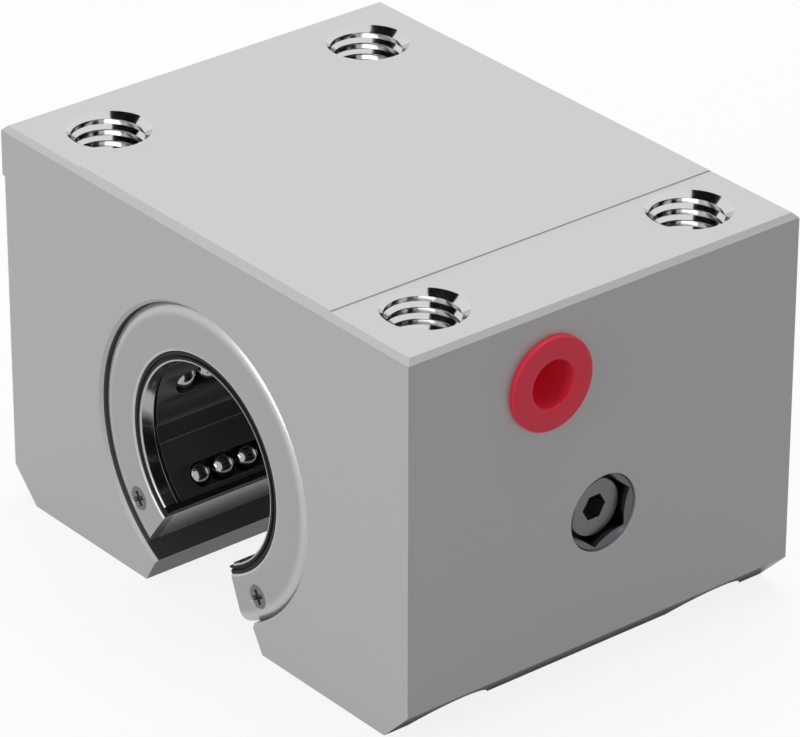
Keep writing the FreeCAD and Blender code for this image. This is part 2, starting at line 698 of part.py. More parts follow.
def build_port_plug():
    body = new_body("port_plug")
    section = new_sketch(body, "section", "XZ_Plane")
    under = f"({PLUS_SIDE} + plug_seat_gap)"
    face = f"({under} + plug_flange_thickness)"
    flange = "(plug_flange_diameter / 2)"
    shank = "(port_diameter / 2 - plug_clearance)"
    polygon(section, [
        (f"{PLUS_SIDE} - plug_length", "0"),
        (f"{PLUS_SIDE} - plug_length + plug_floor_thickness", "0"),
        (f"{PLUS_SIDE} - plug_length + plug_floor_thickness", "plug_floor / 2"),
        (face, "plug_mouth / 2"),
        (face, f"{flange} - plug_edge"),
        (f"{face} - plug_edge", flange),
        (under, flange),
        (under, shank),
        (f"{PLUS_SIDE} - plug_length", shank),
    ])
    turned(body, "plug", section)
    body.setExpression("Placement.Base.y", bound("port_offset"))
    body.setExpression("Placement.Base.z", bound("port_height"))


def faceted_ball(radius):
    """Make a ball of flat faces whose corners lie on the sphere."""
    rings = []
    for band in range(1, BALL_BANDS):
        dip = math.pi * band / BALL_BANDS
        flat = [2 * math.pi * i / BALL_SLICES for i in range(BALL_SLICES)]
        rings.append([
            Vector(radius * math.sin(dip) * math.cos(a), radius * math.sin(dip) * math.sin(a),
                   radius * math.cos(dip)) for a in flat])
    top = Vector(0, 0, radius)
    outlines = []
    for i in range(BALL_SLICES):
        after = (i + 1) % BALL_SLICES
        outlines.append([top, rings[0][i], rings[0][after]])
        outlines.append([-top, rings[-1][after], rings[-1][i]])
        for upper, lower in zip(rings, rings[1:]):
            outlines.append([upper[i], lower[i], lower[after], upper[after]])
    faces = [Part.Face(Part.makePolygon(outline + outline[:1])) for outline in outlines]
    return Part.Solid(Part.Shell(faces))


def circuit_places():
    """List the ball centres of one circuit in its own frame: u across, y along, v outward."""
    half_row = sized(HALF_ROW)
    gap = sized(ROW_HALF_GAP)
    load = sized(LOAD_HEIGHT)
    back = sized(RETURN_HEIGHT)
    steps_in_row = int(2 * half_row / sized("ball_pitch"))
    places = []
    for i in range(steps_in_row + 1):
        step = i - steps_in_row / 2
        places.append(Vector(gap, step * sized("ball_pitch"), load))
        places.append(Vector(-gap, step * sized("return_pitch"), back))
    for end in (-1, 1):
        places.append(Vector(-sized("turn_ball_shift"), end * (half_row + gap), back))
    return places


def build_ball_circuits():
    ball = faceted_ball(sized(BALL_RADIUS))
    places = circuit_places()
    number = 0
    for sign in (1, -1):
        for row in range(CIRCUITS_PER_SIDE):
            number += 1
            angle = sized(f"{CIRCUIT_ANGLE} + {row} * track_spacing")
            copies = []
            for place in places:
                copy = ball.copy()
                copy.translate(Vector(sign * place.x, place.y, place.z))
                copies.append(copy)
            node = doc.addObject("Part::Feature", "ball_circuit_%d" % number)
            node.Label = node.Name
            node.Shape = Part.makeCompound(copies)
            turn = sign * angle + sized("bearing_roll")
            node.Placement = Placement(Vector(0, 0, 0), Rotation(Vector(0, 1, 0), turn))
            nodes.append(node)


build_housing()
build_bearing_sleeve()
build_ball_cage()
build_ball_circuits()
for end in TURN_ROUND:
    build_end_plate(end)
    build_guide_ring(end)
    build_wiper(end)
    for side in SIDES:
        build_plate_screw(end, side)
for side in SIDES:
    build_side_seal(side)
build_lock_ring()
build_locking_screw()
build_port_plug()
doc.recompute()

for item in doc.Objects:
    if "Invalid" in item.State or "Error" in item.State:
        raise RuntimeError("%s failed: %s" % (item.Name, item.State))
for node in nodes:
    if node.Shape.isNull() or not node.Shape.isValid():
        raise RuntimeError(node.Label + " has no valid shape")

os.makedirs("parts", exist_ok=True)
for node in nodes:
    node.Shape.exportStep("parts/%s.step" % node.Label)
    print(node.Label, len(node.Shape.Solids), round(node.Shape.Volume, 2))
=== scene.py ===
"""Open linear bearing block: finishes, lights and the pieces with curved or threaded surfaces."""

import math

import bmesh
import bpy
import numpy as np
from mathutils import Matrix, Vector


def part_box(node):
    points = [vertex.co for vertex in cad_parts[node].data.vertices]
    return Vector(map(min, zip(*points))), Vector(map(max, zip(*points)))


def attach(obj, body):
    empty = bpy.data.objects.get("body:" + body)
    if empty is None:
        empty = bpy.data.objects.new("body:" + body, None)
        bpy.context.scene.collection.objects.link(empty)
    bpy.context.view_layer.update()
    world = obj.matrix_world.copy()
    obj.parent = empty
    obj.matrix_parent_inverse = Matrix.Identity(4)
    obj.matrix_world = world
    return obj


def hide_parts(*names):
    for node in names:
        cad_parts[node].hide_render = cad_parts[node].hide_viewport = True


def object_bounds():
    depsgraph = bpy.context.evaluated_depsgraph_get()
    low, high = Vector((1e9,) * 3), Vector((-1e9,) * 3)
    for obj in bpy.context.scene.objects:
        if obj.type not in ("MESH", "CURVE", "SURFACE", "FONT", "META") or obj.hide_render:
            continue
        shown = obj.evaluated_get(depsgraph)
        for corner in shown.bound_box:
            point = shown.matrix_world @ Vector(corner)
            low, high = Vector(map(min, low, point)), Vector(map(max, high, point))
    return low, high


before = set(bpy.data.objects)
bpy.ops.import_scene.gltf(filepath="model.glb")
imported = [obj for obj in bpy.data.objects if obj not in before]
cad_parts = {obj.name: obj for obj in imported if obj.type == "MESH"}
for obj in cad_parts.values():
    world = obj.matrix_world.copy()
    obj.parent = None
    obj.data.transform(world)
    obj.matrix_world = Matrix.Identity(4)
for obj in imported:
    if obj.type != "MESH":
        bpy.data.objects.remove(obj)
CAD_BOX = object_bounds()
MM = 0.001
TAU = 2 * math.pi

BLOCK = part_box("housing")
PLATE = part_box("front_end_plate")

# The shaft runs along Y through the origin, and the bearing is rolled about it. Angles round
# the shaft start at the bearing's crown, and the opening is left out at the bottom.
ROLL = math.radians(7.5)
HALF_OPENING = math.radians(57.4 / 2)
SEAL_ANGLE = math.pi - HALF_OPENING
GUIDE_ANGLE = SEAL_ANGLE - math.radians(3.7)
SCREW_ANGLE = SEAL_ANGLE - math.radians(15)
RING_STEPS = 180

# Profiles are written for the front end, and the rear end is its mirror image
ENDS = {"front": 1, "rear": -1}
SIDES = {"left": -1, "right": 1}

# Radii from the shaft's axis
SHAFT_RADIUS = 12.5 * MM
LIP_RADIUS = SHAFT_RADIUS + 0.33 * MM
RING_BORE = SHAFT_RADIUS + 1.35 * MM
RING_SEAT = RING_BORE - 0.05 * MM
BEARING_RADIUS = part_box("bearing_sleeve")[1].z

# Places along Y at the front end
PLATE_FACE = PLATE[0].y
PLATE_BACK = PLATE[1].y
SEAT_FRONT = PLATE_FACE + 0.1 * MM
SEAT_BACK = SEAT_FRONT + 0.7 * MM

# Balls of a circuit
BALLS = 28
BALL_RADIUS = 1.75 * MM

# The four top holes: an M10 thread of coarse pitch, and how far its countersink reaches
HOLE_X, HOLE_Y = 30 * MM, 20 * MM
PITCH = 1.5 * MM
THREAD_TURNS = 12
THREAD_STEPS = 64
CREST_RADIUS = 4.27 * MM
ROOT_RADIUS = 4.77 * MM
THREAD_START = 0.2 * MM
COUNTERSINK_REACH = 5.8 * MM

# The rail slot's flared walls lie below this height and nearer to the middle than this
FLARE_TOP = -15 * MM
SLOT_REACH = 16 * MM

# Directions round a small turned piece
AROUND = 96
ROUND = TAU * np.arange(AROUND) / AROUND


# ---------------------------------------------------------------- meshes

def shade_smooth(mesh, smooth_angle):
    """Shade a mesh smooth, with a crease where two faces turn by more than the angle in degrees."""
    mesh.polygons.foreach_set("use_smooth", np.ones(len(mesh.polygons), bool))
    mesh.set_sharp_from_angle(angle=math.radians(smooth_angle))


def add_object(name, points, faces, material, body, smooth_angle=30):
    """Put points and faces into a mesh whose object sits at the origin."""
    mesh = bpy.data.meshes.new(name)
    mesh.from_pydata(np.asarray(points, float).tolist(), [], [list(face) for face in faces])
    mesh.validate()
    shape = bmesh.new()
    shape.from_mesh(mesh)
    bmesh.ops.remove_doubles(shape, verts=shape.verts, dist=1e-7)
    bmesh.ops.recalc_face_normals(shape, faces=shape.faces)
    shape.to_mesh(mesh)
    shape.free()
    shade_smooth(mesh, smooth_angle)
    piece = bpy.data.objects.new(name, mesh)
    bpy.context.scene.collection.objects.link(piece)
    mesh.materials.append(material)
    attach(piece, body)
    return piece


def grid_faces(rows, columns, close_rows=False, close_columns=False):
    """Quads of a grid whose point (i, j) has the number i * columns + j."""
    i, j = np.meshgrid(np.arange(rows - (not close_rows)), np.arange(columns - (not close_columns)),
                       indexing="ij")
    down, right = (i + 1) % rows, (j + 1) % columns
    corners = (i * columns + j, down * columns + j, down * columns + right, i * columns + right)
    return np.stack(corners, -1).reshape(-1, 4)


def rounded(corner, start, end, steps=6):
    """A quarter arc that leaves one side of a corner at start and meets the other at end.

    Its centre is start + end - corner, and a point is the centre, plus the cosine times the arm
    to start, plus the sine times the arm to end.
    """
    corner, start, end = (np.array(point, float) for point in (corner, start, end))
    t = np.linspace(0, math.pi / 2, steps)[:, None]
    centre = start + end - corner
    return centre + (start - centre) * np.cos(t) + (end - centre) * np.sin(t)


def rolled_edge(face, rim, radius, turn, steps=14):
    """An arc that leaves the rim at an angle and bends into the face without a crease.

    At an angle t from the face's own direction it lies radius * (1 - cos t) behind the face and
    radius * sin t beyond the arc's inner end, so that it reaches the rim where t is the turn.
    """
    t = np.linspace(turn, 0, steps)
    start = rim - radius * math.sin(turn)
    return np.stack([face + radius * (1 - np.cos(t)), start + radius * np.sin(t)], -1)


def open_ring(name, profile, half_angle, material, end):
    """A closed profile (along, radius) swept round the shaft, with a flat face at each end.

    At an angle from straight up, a point stands at radius * sine across and radius * cosine up.
    """
    profile = np.asarray(profile, float)
    count = len(profile)
    angle = np.linspace(-half_angle, half_angle, RING_STEPS)[:, None] + ROLL
    along = np.broadcast_to(ENDS[end] * profile[:, 0], (RING_STEPS, count))
    radius = profile[:, 1]
    points = np.stack([radius * np.sin(angle), along, radius * np.cos(angle)], -1).reshape(-1, 3)
    faces = grid_faces(RING_STEPS, count, close_columns=True).tolist()
    faces.append(list(range(count)))
    faces.append(list(range((RING_STEPS - 1) * count, RING_STEPS * count)))
    return add_object(name, points, faces, material, "block")


def turned_about_y(profile, x, z, around):
    """Points of a profile (y, radius) carried round an axis parallel to Y, through x and z."""
    profile = np.asarray(profile, float)
    angle = TAU * np.arange(around) / around
    along = np.broadcast_to(profile[:, :1], (len(profile), around))
    return np.stack([x + profile[:, 1:] * np.cos(angle), along, z + profile[:, 1:] * np.sin(angle)], -1)


def turned_about_x(rows, y=0, z=0, turn=0.0):
    """Points of rows (x, radius) carried round an axis parallel to X, through y and z.

    A radius is one number, or one for each direction, as a hexagon's is.
    """
    angle = turn + ROUND
    x, radius = (np.stack([np.broadcast_to(row[i], angle.shape) for row in rows]) for i in (0, 1))
    return np.stack([x, y + radius * np.cos(angle), z + radius * np.sin(angle)], -1).reshape(-1, 3)


# ------------------------------------------------------------- materials

def linear(code):
    """Turn an sRGB hex colour into the linear values that a shader takes."""
    channels = [int(code[i:i + 2], 16) / 255 for i in (0, 2, 4)]
    return [c / 12.92 if c <= 0.04045 else ((c + 0.055) / 1.055) ** 2.4 for c in channels] + [1.0]


def add_node(tree, kind, values=None, links=None, **options):
    """Add a node: values and links go by the name or number of a socket, options are its settings."""
    node = tree.nodes.new(kind)
    for option, value in options.items():
        setattr(node, option, value)
    for socket, value in (values or {}).items():
        node.inputs[socket].default_value = value
    for socket, source in (links or {}).items():
        output = source if isinstance(source, bpy.types.NodeSocket) else source.outputs[0]
        tree.links.new(output, node.inputs[socket])
    return node


def new_material(name):
    """An empty node material and its tree."""
    material = bpy.data.materials.new(name)
    material.use_nodes = True
    material.node_tree.nodes.clear()
    return material, material.node_tree


def grain(tree, per_mm, stretch):
    """Noise on the object's own coordinates, with a number of grains to each millimetre."""
    place = add_node(tree, "ShaderNodeTexCoord")
    scaled = add_node(tree, "ShaderNodeMapping", {"Scale": stretch}, {"Vector": place.outputs["Object"]})
    return add_node(tree, "ShaderNodeTexNoise",
                    {"Scale": per_mm / MM, "Detail": 4.0, "Roughness": 0.55}, {"Vector": scaled})


def surface(name, colour, roughness, metallic=1.0, per_mm=6.0, depth=0.002, spread=0.04,
            stretch=(1, 1, 1), **sockets):
    """A finish whose roughness and height both follow one grain.

    Roughness runs from its value less the spread to its value plus the spread, and depth is the
    grain's height in millimetres. A real grain is finer than per_mm says: it is drawn as coarse
    as it needs to be to show.
    """
    material, tree = new_material(name)
    noise = grain(tree, per_mm, stretch)
    rough = add_node(tree, "ShaderNodeMapRange",
                     {"To Min": roughness - spread, "To Max": roughness + spread}, {"Value": noise})
    bump = add_node(tree, "ShaderNodeBump", {"Strength": 1.0, "Distance": depth * MM}, {"Height": noise})
    values = {"Base Color": linear(colour), "Metallic": metallic}
    values.update({socket.replace("_", " "): value for socket, value in sockets.items()})
    shader = add_node(tree, "ShaderNodeBsdfPrincipled", values, {"Roughness": rough, "Normal": bump})
    add_node(tree, "ShaderNodeOutputMaterial", links={"Surface": shader})
    return material


def paint_edge_highlight(material, bright, bore, rim):
    """Brighten a ring's colour towards its bore and its rim, by distance from the shaft, as a painted
    highlight on its edges.

    The bright colour comes in softly over the millimetre where the edge starts to roll, and in
    a fine line beside the bore.
    """
    tree = material.node_tree
    shader = next(node for node in tree.nodes if node.type == "BSDF_PRINCIPLED")
    place = add_node(tree, "ShaderNodeTexCoord")
    flat = add_node(tree, "ShaderNodeVectorMath", {1: (1, 0, 1)}, {0: place.outputs["Object"]},
                    operation="MULTIPLY")
    length = add_node(tree, "ShaderNodeVectorMath", links={0: flat}, operation="LENGTH")
    radius = length.outputs["Value"]
    near_rim = add_node(tree, "ShaderNodeMapRange",
                        {"From Min": rim - 1.9 * MM, "From Max": rim - 0.9 * MM},
                        {"Value": radius}, interpolation_type="SMOOTHSTEP")
    near_bore = add_node(tree, "ShaderNodeMapRange",
                         {"From Min": bore + 0.38 * MM, "From Max": bore + 0.24 * MM},
                         {"Value": radius})
    edge = add_node(tree, "ShaderNodeMath", links={0: near_rim, 1: near_bore}, operation="MAXIMUM")
    # A Mix node takes its two colours at 6 and 7, and gives their mix at 2
    plain = tuple(shader.inputs["Base Color"].default_value)
    # The bright colour mixed in at the edges is a painted highlight
    colour = add_node(tree, "ShaderNodeMix", {6: plain, 7: linear(bright)}, {0: edge}, data_type="RGBA")
    tree.links.new(colour.outputs[2], shader.inputs["Base Color"])


# Satin clear anodising over a fine milled grain: pale, nearly matt, the same from every side
MILLED = surface("satin_anodised_aluminium", "c1c1c1", 0.45, metallic=0.15, stretch=(0.15, 1, 1))
# Bored and broached walls and the slot's flared walls: darker, as a painted shade for the bore and the
# slot's underside, with soft streaks along the cut
PAINTED_SHADE_BORED = surface("bored_aluminium_painted_shade", "565958", 0.4, metallic=0.4, per_mm=4.0, spread=0.05,
                stretch=(1, 0.08, 1))
# Freshly tapped walls are bright and mirror what is round them
THREAD = surface("tapped_thread", "d2d2d2", 0.1, per_mm=8.0, depth=0.0006, spread=0.02)
# Hardened and ground steel: even, with a soft sheen, a little warmer than the block
GROUND = surface("ground_bearing_steel", "dededc", 0.34, metallic=0.45, per_mm=9.0, depth=0.0015)
# Stamped plate with a tumbled skin: fine speckle, paler towards its rim and its bore as a painted
# highlight
STAMPED = surface("tumbled_plate_steel", "a9a9a9", 0.3, metallic=0.55, per_mm=3.5, depth=0.01,
                  spread=0.08)
# Painted highlight: the plate's colour is brighter near its rim and its bore
paint_edge_highlight(STAMPED, "c6c6c6", RING_BORE, BEARING_RADIUS)
# Honed guide ring: smooth enough to show bright and dark bands
HONED = surface("honed_guide_steel", "a8a8a8", 0.16, per_mm=3.0, depth=0.0008)
# Lapped bearing balls: near to a mirror, each with points of light
LAPPED = surface("lapped_ball_steel", "a6a6a6", 0.06, per_mm=2.0, depth=0.0002, spread=0.02)
# Small screws, zinc gone grey: duller and darker than the plate
ZINC = surface("grey_zinc_screw", "707070", 0.3, per_mm=9.0)
# Phosphated lock screw: dark grey with a soft shine
LOCK = surface("grey_phosphated_steel", "666866", 0.3, metallic=0.9, per_mm=7.0)
# Blackened ring round the lock screw: darker and smoother, so that its facets part
BLACKENED = surface("blackened_ring_steel", "585a5e", 0.18, per_mm=5.0, depth=0.001)
# Nitrile lips: matt black, no shine to speak of
RUBBER = surface("nitrile_rubber", "0c0c0c", 0.55, metallic=0.0, per_mm=5.0, Specular_IOR_Level=0.25)
# Acetal cage: black with a satin sheen along its pads
CAGE = surface("black_acetal", "444444", 0.32, metallic=0.0, per_mm=4.0)
# The cage's broken edges are pale: a painted highlight that outlines its pads and windows
EDGE_HIGHLIGHT_ACETAL = surface("acetal_edge_painted_highlight", "d0d0d0", 0.3, metallic=0.0, per_mm=4.0)
# Polyethylene cap: full red, slightly waxy
PLUG = surface("red_polyethylene", "ff3c58", 0.42, metallic=0.0, per_mm=3.0, Specular_IOR_Level=0.3)


def paint(node, material):
    """Give a CAD node its finish."""
    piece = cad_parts[node]
    piece.data.materials.clear()
    piece.data.materials.append(material)


# ------------------------------------------------- copies of CAD pieces

def merged_copy(node, name, flat_angle):
    """A copy of a CAD node's mesh, its doubles merged and its flat areas made whole faces."""
    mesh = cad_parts[node].data.copy()
    mesh.name = name
    shape = bmesh.new()
    shape.from_mesh(mesh)
    bmesh.ops.remove_doubles(shape, verts=shape.verts, dist=1e-6)
    bmesh.ops.dissolve_limit(shape, angle_limit=math.radians(flat_angle), verts=shape.verts,
                             edges=shape.edges)
    shape.to_mesh(mesh)
    shape.free()
    if "custom_normal" in mesh.attributes:
        mesh.attributes.remove(mesh.attributes["custom_normal"])
    mesh.materials.clear()
    piece = bpy.data.objects.new(name, mesh)
    bpy.context.scene.collection.objects.link(piece)
    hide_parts(node)
    return piece


def apply_modifiers(piece, smooth_angle):
    """Bake the piece's modifiers into its mesh and shade it smooth up to an angle."""
    graph = bpy.context.evaluated_depsgraph_get()
    mesh = bpy.data.meshes.new_from_object(piece.evaluated_get(graph))
    piece.modifiers.clear()
    piece.data = mesh
    shade_smooth(mesh, smooth_angle)


def cut_away(piece, cutter, smooth_angle):
    """Take one closed body out of another, then drop the cutter."""
    cut = piece.modifiers.new("cut", "BOOLEAN")
    cut.operation = "DIFFERENCE"
    cut.solver = "EXACT"
    cut.object = cutter
    apply_modifiers(piece, smooth_angle)
    bpy.data.objects.remove(cutter)


# --------------------------------------------------------------- housing

def thread_cutter(x, y, top):
    """A screw-shaped body: radius depends on height less the climb of the helix, one step a row.

    Point (k, j) is j steps round and climbs k // 4 + phase + j / steps pitches. Two of a pitch's
    four rows are at the crest of the nut's thread and two at its root. The last column meets
    the first one pitch higher, and a fan from a point closes each end.
    """
    phases = np.array([0, 0.03, 0.36, 0.76])
    radii = np.array([CREST_RADIUS, CREST_RADIUS, ROOT_RADIUS, ROOT_RADIUS])
    around, rows = THREAD_STEPS, 4 * THREAD_TURNS
    k, j = np.arange(rows + 1), np.arange(around)
    climb = (k // 4 + phases[k % 4])[:, None] + j / around
    radius = np.broadcast_to(radii[k % 4][:, None], climb.shape)
    angle = TAU * j / around
    low = top - (THREAD_TURNS + 1) * PITCH
    points = np.stack([x + radius * np.cos(angle), y + radius * np.sin(angle), low + climb * PITCH], -1)
    points = points.reshape(-1, 3)
    last = around - 1
    seam = np.arange(rows - 4)[:, None] * around
    joins = np.hstack([seam + last, seam + around + last, seam + 5 * around, seam + 4 * around])
    faces = grid_faces(rows + 1, around).tolist() + joins.tolist()
    base, tip = len(points), len(points) + 1
    points = np.vstack([points, [x, y, low - PITCH], [x, y, top + 2 * PITCH]])
    bottom = [*range(around), *[i * around for i in (4, 3, 2, 1)]]
    upper = [*range(rows * around, (rows + 1) * around),
             *[i * around + last for i in range(rows - 1, rows - 5, -1)]]
    for loop, centre in ((bottom, base), (upper, tip)):
        faces += [[a, b, centre] for a, b in zip(loop, loop[1:] + loop[:1])]
    return points, faces


def face_values(mesh, field):
    """One vector for each face of a mesh, as an array."""
    values = np.empty(3 * len(mesh.polygons))
    mesh.polygons.foreach_get(field, values)
    return values.reshape(-1, 3)


def make_housing():
    """The CAD housing with its four top holes threaded and its cut walls darkened with painted shade.

    A face is tapped within a countersink's reach of a hole, but for the flat top. It takes the
    darker bored finish, a painted shade, where it runs along the shaft and lies in the bearing's
    seat or is one of the slot's flared walls. The rest is milled.
    """
    piece = merged_copy("housing", "threaded_housing", flat_angle=0.05)
    points, faces, count = [], [], 0
    for x in (-HOLE_X, HOLE_X):
        for y in (-HOLE_Y, HOLE_Y):
            more, quads = thread_cutter(x, y, BLOCK[1].z + THREAD_START)
            points.append(more)
            faces += [[index + count for index in quad] for quad in quads]
            count += len(more)
    cutters = add_object("thread_cutters", np.vstack(points), faces, THREAD, "block")
    cut_away(piece, cutters, smooth_angle=22)
    mesh = piece.data
    mesh.materials.clear()
    for material in (MILLED, THREAD, PAINTED_SHADE_BORED):
        mesh.materials.append(material)
    x, y, z = face_values(mesh, "center").T
    normal = face_values(mesh, "normal")
    on_top, underneath = normal[:, 2] >= 0.99, normal[:, 2] <= -0.9
    lengthwise = abs(normal[:, 1]) < 0.5
    from_hole = np.hypot(abs(x) - HOLE_X, abs(y) - HOLE_Y)
    from_shaft = np.hypot(x, z)
    tapped = (from_hole < COUNTERSINK_REACH) & (z > 0) & ~on_top
    bore = lengthwise & (from_shaft < BEARING_RADIUS + 0.1 * MM)
    flare = lengthwise & (z < FLARE_TOP) & (abs(x) < SLOT_REACH) & ~underneath
    # Index 2 is the darker bored finish: painted shade in the bore and on the slot's flared walls
    mesh.polygons.foreach_set("material_index", np.where(tapped, 1, np.where(bore | flare, 2, 0)))
    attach(piece, "block")


# ---------------------------------------------------------- bearing ends

def screw_place(side):
    """Where a plate screw stands, across and up from the shaft: 2.9 mm inside the plate's rim."""
    turn = ROLL + SIDES[side] * SCREW_ANGLE
    reach = BEARING_RADIUS - 2.9 * MM
    return reach * math.sin(turn), reach * math.cos(turn)


def make_plate(end):
    """An end plate: its profile rolls from the rim into the face, and two screw heads sink in it."""
    roll, turn, edge = 2.0 * MM, math.radians(55), 0.25 * MM
    profile = np.vstack([
        [(PLATE_BACK, RING_BORE), (PLATE_BACK, BEARING_RADIUS)],
        rolled_edge(PLATE_FACE, BEARING_RADIUS, roll, turn),
        rounded((PLATE_FACE, RING_BORE), (PLATE_FACE, RING_BORE + edge), (PLATE_FACE + edge, RING_BORE)),
    ])
    piece = open_ring(end + "_plate", profile, SEAL_ANGLE, STAMPED, end)
    # Depth below the face and radius of a sink, in millimetres: broken edge, cone, screw hole
    sink = np.array([(-0.1, 0.0), (-0.1, 1.65), (0.0, 1.6), (0.1, 1.5), (0.85, 0.8),
                     (4.0, 0.8), (4.0, 0.0)]) * MM
    sink[:, 0] = ENDS[end] * (PLATE_FACE + sink[:, 0])
    around = 64
    for side in SIDES:
        points = turned_about_y(sink, *screw_place(side), around)
        faces = grid_faces(len(sink), around, close_columns=True)
        cutter = add_object("sink_cutter", points.reshape(-1, 3), faces, STAMPED, "block")
        cut_away(piece, cutter, smooth_angle=30)
    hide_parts(end + "_end_plate")


def make_wiper(end):
    """A wiper: its profile has two ribs with a groove between them, inside the plate's bore."""
    # How far each point of the ribs lies behind the front and beyond the lip, in millimetres
    ribs = np.array([(0.12, 0.0), (0.0, 0.08), (0.0, 0.28), (0.25, 0.36), (0.25, 0.5), (0.05, 0.6)]) * MM
    profile = np.vstack([
        [(SEAT_BACK, LIP_RADIUS)],
        (SEAT_FRONT, LIP_RADIUS) + ribs,
        [(SEAT_FRONT + 0.05 * MM, RING_SEAT), (SEAT_BACK, RING_SEAT)],
    ])
    piece = open_ring(end + "_wiper_lips", profile, SEAL_ANGLE, RUBBER, end)
    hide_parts(end + "_wiper")


def make_guide(end):
    """A guide ring: it runs from the wiper's lip back past the plate, with rounded edges."""
    tongue = PLATE_BACK + 0.5 * MM
    bore, edge = SHAFT_RADIUS + 0.05 * MM, 0.2 * MM
    under_lip = LIP_RADIUS - 0.01 * MM
    profile = np.vstack([
        [(SEAT_BACK, RING_SEAT), (tongue, RING_SEAT)],
        rounded((tongue, bore), (tongue, bore + edge), (tongue - edge, bore), 5),
        rounded((SEAT_FRONT, bore), (SEAT_FRONT + edge, bore), (SEAT_FRONT, bore + edge), 5),
        [(SEAT_FRONT, under_lip), (SEAT_BACK, under_lip)],
    ])
    piece = open_ring(end + "_guide", profile, GUIDE_ANGLE, HONED, end)
    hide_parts(end + "_guide_ring")


def make_plate_screw(end, side):
    """A flush screw head: a disc whose depth has a cross of sloping walls, on a cone and a shank.

    A point of the disc sinks by how far inside the cross's nearer bar it lies, down to the
    cross's floor, and by a crown that grows with the sixth power of the radius.
    """
    name = f"{end}_{side}_plate_screw"
    rings, tilt = 17, 0.5
    head, below_face, crown = 1.45 * MM, 0.03 * MM, 0.08 * MM
    arm, bar, floor, wall = 0.9 * MM, 0.23 * MM, 0.6 * MM, 0.1 * MM
    radius = np.linspace(0, head, rings)[:, None]
    u, v = radius * np.cos(ROUND), radius * np.sin(ROUND)
    level_bar = np.minimum(arm - np.abs(u), bar - np.abs(v))
    upright_bar = np.minimum(arm - np.abs(v), bar - np.abs(u))
    inside = np.maximum(level_bar, upright_bar)
    depth = below_face + crown * (radius / head) ** 6 + np.clip(inside / wall + 0.5, 0, 1) * floor
    # Depth and radius down the cone and the shank, in millimetres
    stem = np.array([(0.2, 1.45), (0.85, 0.75), (3.2, 0.75), (3.2, 0.0)]) * MM
    stem = turned_about_y(stem, 0, 0, AROUND)
    across = np.vstack([u * math.cos(tilt) - v * math.sin(tilt), stem[..., 0]])
    up = np.vstack([u * math.sin(tilt) + v * math.cos(tilt), stem[..., 2]])
    down = np.vstack([depth, stem[..., 1]])
    x, z = screw_place(side)
    points = np.stack([x + across, ENDS[end] * (PLATE_FACE + down), z + up], -1)
    faces = grid_faces(len(points), AROUND, close_columns=True)
    piece = add_object(name + "_cross", points.reshape(-1, 3), faces, ZINC, "block")
    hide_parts(name)


# ------------------------------------------------------- cage and balls

def make_cage():
    """The CAD cage with its edges broken and coloured pale, a painted highlight that outlines every pad
    and window.
    """
    piece = merged_copy("ball_cage", "moulded_cage", flat_angle=0.3)
    piece.data.materials.append(CAGE)
    piece.data.materials.append(EDGE_HIGHLIGHT_ACETAL)
    edges = piece.modifiers.new("edges", "BEVEL")
    edges.width = 0.12 * MM
    edges.segments = 2
    edges.limit_method = "ANGLE"
    edges.angle_limit = math.radians(35)
    # The bevel's faces take the pale material, a painted highlight along the edges
    edges.material = 1
    apply_modifiers(piece, smooth_angle=30)
    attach(piece, "block")


def make_circuit(number):
    """The balls of one circuit, each a sphere about the middle of a ball of the CAD node.

    At a dip from the pole, a sphere's point is sin dip * cos angle, sin dip * sin angle, cos dip.
    """
    node = f"ball_circuit_{number}"
    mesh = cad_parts[node].data
    corners = np.empty(3 * len(mesh.vertices))
    mesh.vertices.foreach_get("co", corners)
    centres = corners.reshape(BALLS, -1, 3).mean(1)
    rows, around = 13, 20
    dip = np.linspace(0, math.pi, rows)[:, None]
    angle = TAU * np.arange(around) / around
    unit = np.stack([np.sin(dip) * np.cos(angle), np.sin(dip) * np.sin(angle),
                     np.broadcast_to(np.cos(dip), (rows, around))], -1).reshape(-1, 3)
    points = (centres[:, None] + BALL_RADIUS * unit).reshape(-1, 3)
    one = grid_faces(rows, around, close_columns=True)
    faces = (one + (np.arange(BALLS) * rows * around)[:, None, None]).reshape(-1, 4)
    piece = add_object(f"balls_{number}", points, faces, LAPPED, "block", smooth_angle=60)
    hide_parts(node)


# ------------------------------------------------ lock screw, grease plug

def hexagon_radius(angle, flats, corner=0.0):
    """Distance to a hexagon's side: half its width over the cosine from the side's middle."""
    return flats / 2 / np.cos((angle - corner) % (TAU / 6) - TAU / 12)


def make_lock_ring():
    """A ring with a hexagon hole; its face falls towards the hole as a shallow cone."""
    low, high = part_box("lock_ring")
    rim, flats, turn = 4.95 * MM, 8.1 * MM, math.radians(20)
    chamfer, slope = 0.12 * MM, 0.5
    inner = hexagon_radius(turn + ROUND, flats, turn)
    lip = high.x - slope * (rim - chamfer - inner)
    rows = [(low.x, inner), (lip - 0.08 * MM, inner), (lip, inner + 0.06 * MM),
            (high.x, rim - chamfer), (high.x - 0.1 * MM, rim), (low.x, rim)]
    faces = grid_faces(len(rows), AROUND, close_rows=True, close_columns=True)
    piece = add_object("lock_ring_hexagon", turned_about_x(rows, turn=turn), faces, BLACKENED, "block")
    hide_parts("lock_ring")


